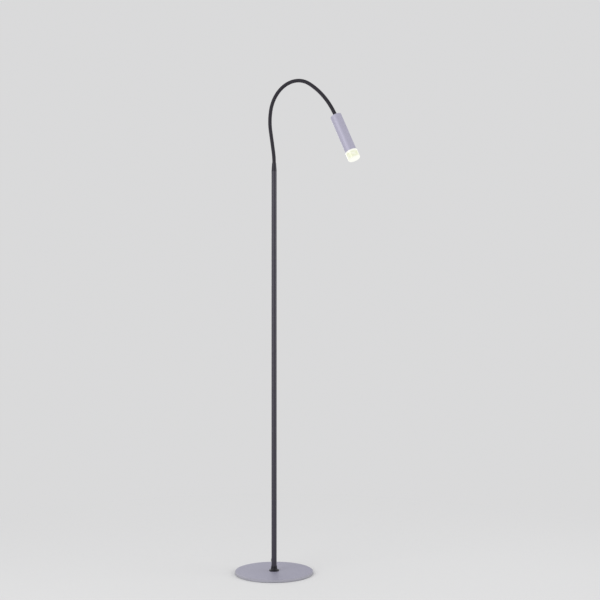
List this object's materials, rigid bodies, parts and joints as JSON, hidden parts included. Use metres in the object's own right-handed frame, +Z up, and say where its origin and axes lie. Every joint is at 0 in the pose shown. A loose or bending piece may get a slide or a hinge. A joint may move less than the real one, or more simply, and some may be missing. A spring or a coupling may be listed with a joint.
{
  "type": "gooseneck reading floor lamp",
  "caption": "Slim floor lamp: round weight plate, straight tube pole, bendable gooseneck and a cylindrical reading head with a glowing clear end.",
  "frame": {"origin": "centre of the base pad's underside, on the floor", "axes": "+Z up along the pole; the resting neck arches in the XZ plane towards +X"},
  "size_m": [0.4372, 0.24, 1.5082],
  "materials": {
    "plate_silver": "fine silver powder coat with a lavender tint",
    "pad_rubber": "matt rubber sheet",
    "satin_black": "satin black lacquer",
    "pole_anthracite": "satin anthracite powder coat",
    "neck_black": "matt black sleeve",
    "grommet_rubber": "moulded rubber",
    "lead_jacket": "cable jacket",
    "head_silver": "satin silver lacquer with a lavender tint",
    "driver_potting": "potting compound",
    "sink_aluminium": "as turned",
    "board_white": "white solder mask",
    "emitter_yellow": "phosphor window",
    "diffuser_acrylic": "clear acrylic, lit from behind",
    "zinc_steel": "zinc-plated steel"
  },
  "bodies": {
    "stand": {"base_pad": "pad_rubber", "base_plate": "plate_silver", "foot_washer": "zinc_steel", "foot_nut": "zinc_steel", "foot_stud": "zinc_steel", "foot_collar": "satin_black", "pole_foot_plug": "zinc_steel", "cord_grommet": "grommet_rubber", "pole_lead": "lead_jacket", "neck_socket": "satin_black", "neck_ferrule_bottom": "zinc_steel", "pole_lower": "pole_anthracite", "pole_middle": "pole_anthracite", "pole_upper": "pole_anthracite", "pole_joiner_lower": "zinc_steel", "pole_joiner_upper": "zinc_steel", "neck_sleeve_00": "neck_black", "neck_core_00": "zinc_steel"},
    "neck_01": {"neck_sleeve_01": "neck_black", "neck_core_01": "zinc_steel"},
    "neck_02": {"neck_sleeve_02": "neck_black", "neck_core_02": "zinc_steel"},
    "neck_03": {"neck_sleeve_03": "neck_black", "neck_core_03": "zinc_steel"},
    "neck_04": {"neck_sleeve_04": "neck_black", "neck_core_04": "zinc_steel"},
    "neck_05": {"neck_sleeve_05": "neck_black", "neck_core_05": "zinc_steel"},
    "neck_06": {"neck_sleeve_06": "neck_black", "neck_core_06": "zinc_steel"},
    "neck_07": {"neck_sleeve_07": "neck_black", "neck_core_07": "zinc_steel"},
    "neck_08": {"neck_sleeve_08": "neck_black", "neck_core_08": "zinc_steel"},
    "neck_09": {"neck_sleeve_09": "neck_black", "neck_core_09": "zinc_steel"},
    "neck_10": {"neck_sleeve_10": "neck_black", "neck_core_10": "zinc_steel"},
    "neck_11": {"neck_sleeve_11": "neck_black", "neck_core_11": "zinc_steel"},
    "neck_12": {"neck_sleeve_12": "neck_black", "neck_core_12": "zinc_steel"},
    "neck_13": {"neck_sleeve_13": "neck_black", "neck_core_13": "zinc_steel"},
    "head": {"neck_sleeve_14": "neck_black", "neck_core_14": "zinc_steel", "head_tube": "head_silver", "head_cap": "head_silver", "neck_ferrule_top": "zinc_steel", "head_nut": "zinc_steel", "head_lead": "lead_jacket", "driver_module": "driver_potting", "heat_sink": "sink_aluminium", "led_board": "board_white", "led_emitter": "emitter_yellow", "led_screws": "zinc_steel", "diffuser": "diffuser_acrylic"}
  },
  "joints": [
    {"name": "neck_lean", "type": "hinge", "parent": "stand", "child": "neck_01", "pos_m": [-0.00095, 0, 1.27997], "axis": [0, 1, 0], "range_deg": [-15, 12]},
    {"name": "neck_sway", "type": "hinge", "parent": "neck_01", "child": "neck_02", "pos_m": [-0.00633, 0, 1.31517], "axis": [0.9858, 0, 0.1678], "range_deg": [-18, 18]},
    {"name": "neck_lean_2", "type": "hinge", "parent": "neck_02", "child": "neck_03", "pos_m": [-0.01238, 0, 1.35026], "axis": [0, 1, 0], "range_deg": [-15, 12]},
    {"name": "neck_sway_2", "type": "hinge", "parent": "neck_03", "child": "neck_04", "pos_m": [-0.0165, 0, 1.38559], "axis": [0.9998, 0, 0.0195], "range_deg": [-18, 18]},
    {"name": "neck_arch", "type": "hinge", "parent": "neck_04", "child": "neck_05", "pos_m": [-0.01354, 0, 1.42102], "axis": [0, 1, 0], "range_deg": [-21, 4]},
    {"name": "neck_arch_2", "type": "hinge", "parent": "neck_05", "child": "neck_06", "pos_m": [-0.00122, 0, 1.45424], "axis": [0, 1, 0], "range_deg": [-21, 4]},
    {"name": "neck_arch_3", "type": "hinge", "parent": "neck_06", "child": "neck_07", "pos_m": [0.022, 0, 1.48099], "axis": [0, 1, 0], "range_deg": [-21, 4]},
    {"name": "neck_arch_4", "type": "hinge", "parent": "neck_07", "child": "neck_08", "pos_m": [0.05316, 0, 1.49785], "axis": [0, 1, 0], "range_deg": [-21, 4]},
    {"name": "neck_sway_3", "type": "hinge", "parent": "neck_08", "child": "neck_09", "pos_m": [0.08825, 0, 1.50265], "axis": [-0.0438, 0, -0.999], "range_deg": [-18, 18]},
    {"name": "neck_arch_5", "type": "hinge", "parent": "neck_09", "child": "neck_10", "pos_m": [0.12279, 0, 1.4948], "axis": [0, 1, 0], "range_deg": [-21, 4]},
    {"name": "neck_tip", "type": "hinge", "parent": "neck_10", "child": "neck_11", "pos_m": [0.15322, 0, 1.47642], "axis": [0, 1, 0], "range_deg": [-12, 6]},
    {"name": "neck_sway_4", "type": "hinge", "parent": "neck_11", "child": "neck_12", "pos_m": [0.18056, 0, 1.45364], "axis": [-0.6894, 0, -0.7244], "range_deg": [-18, 18]},
    {"name": "neck_tip_2", "type": "hinge", "parent": "neck_12", "child": "neck_13", "pos_m": [0.20466, 0, 1.42745], "axis": [0, 1, 0], "range_deg": [-12, 6]},
    {"name": "neck_tip_3", "type": "hinge", "parent": "neck_13", "child": "head", "pos_m": [0.2251, 0, 1.39832], "axis": [0, 1, 0], "range_deg": [-12, 6]}
  ],
  "couplings": [
    {"joint": "neck_lean_2", "follows": "neck_lean", "ratio": 1},
    {"joint": "neck_sway_2", "follows": "neck_sway", "ratio": 1},
    {"joint": "neck_arch_2", "follows": "neck_arch", "ratio": 1},
    {"joint": "neck_arch_3", "follows": "neck_arch", "ratio": 1},
    {"joint": "neck_arch_4", "follows": "neck_arch", "ratio": 1},
    {"joint": "neck_sway_3", "follows": "neck_sway", "ratio": 1},
    {"joint": "neck_arch_5", "follows": "neck_arch", "ratio": 1},
    {"joint": "neck_sway_4", "follows": "neck_sway", "ratio": 1},
    {"joint": "neck_tip_2", "follows": "neck_tip", "ratio": 1},
    {"joint": "neck_tip_3", "follows": "neck_tip", "ratio": 1}
  ]
}
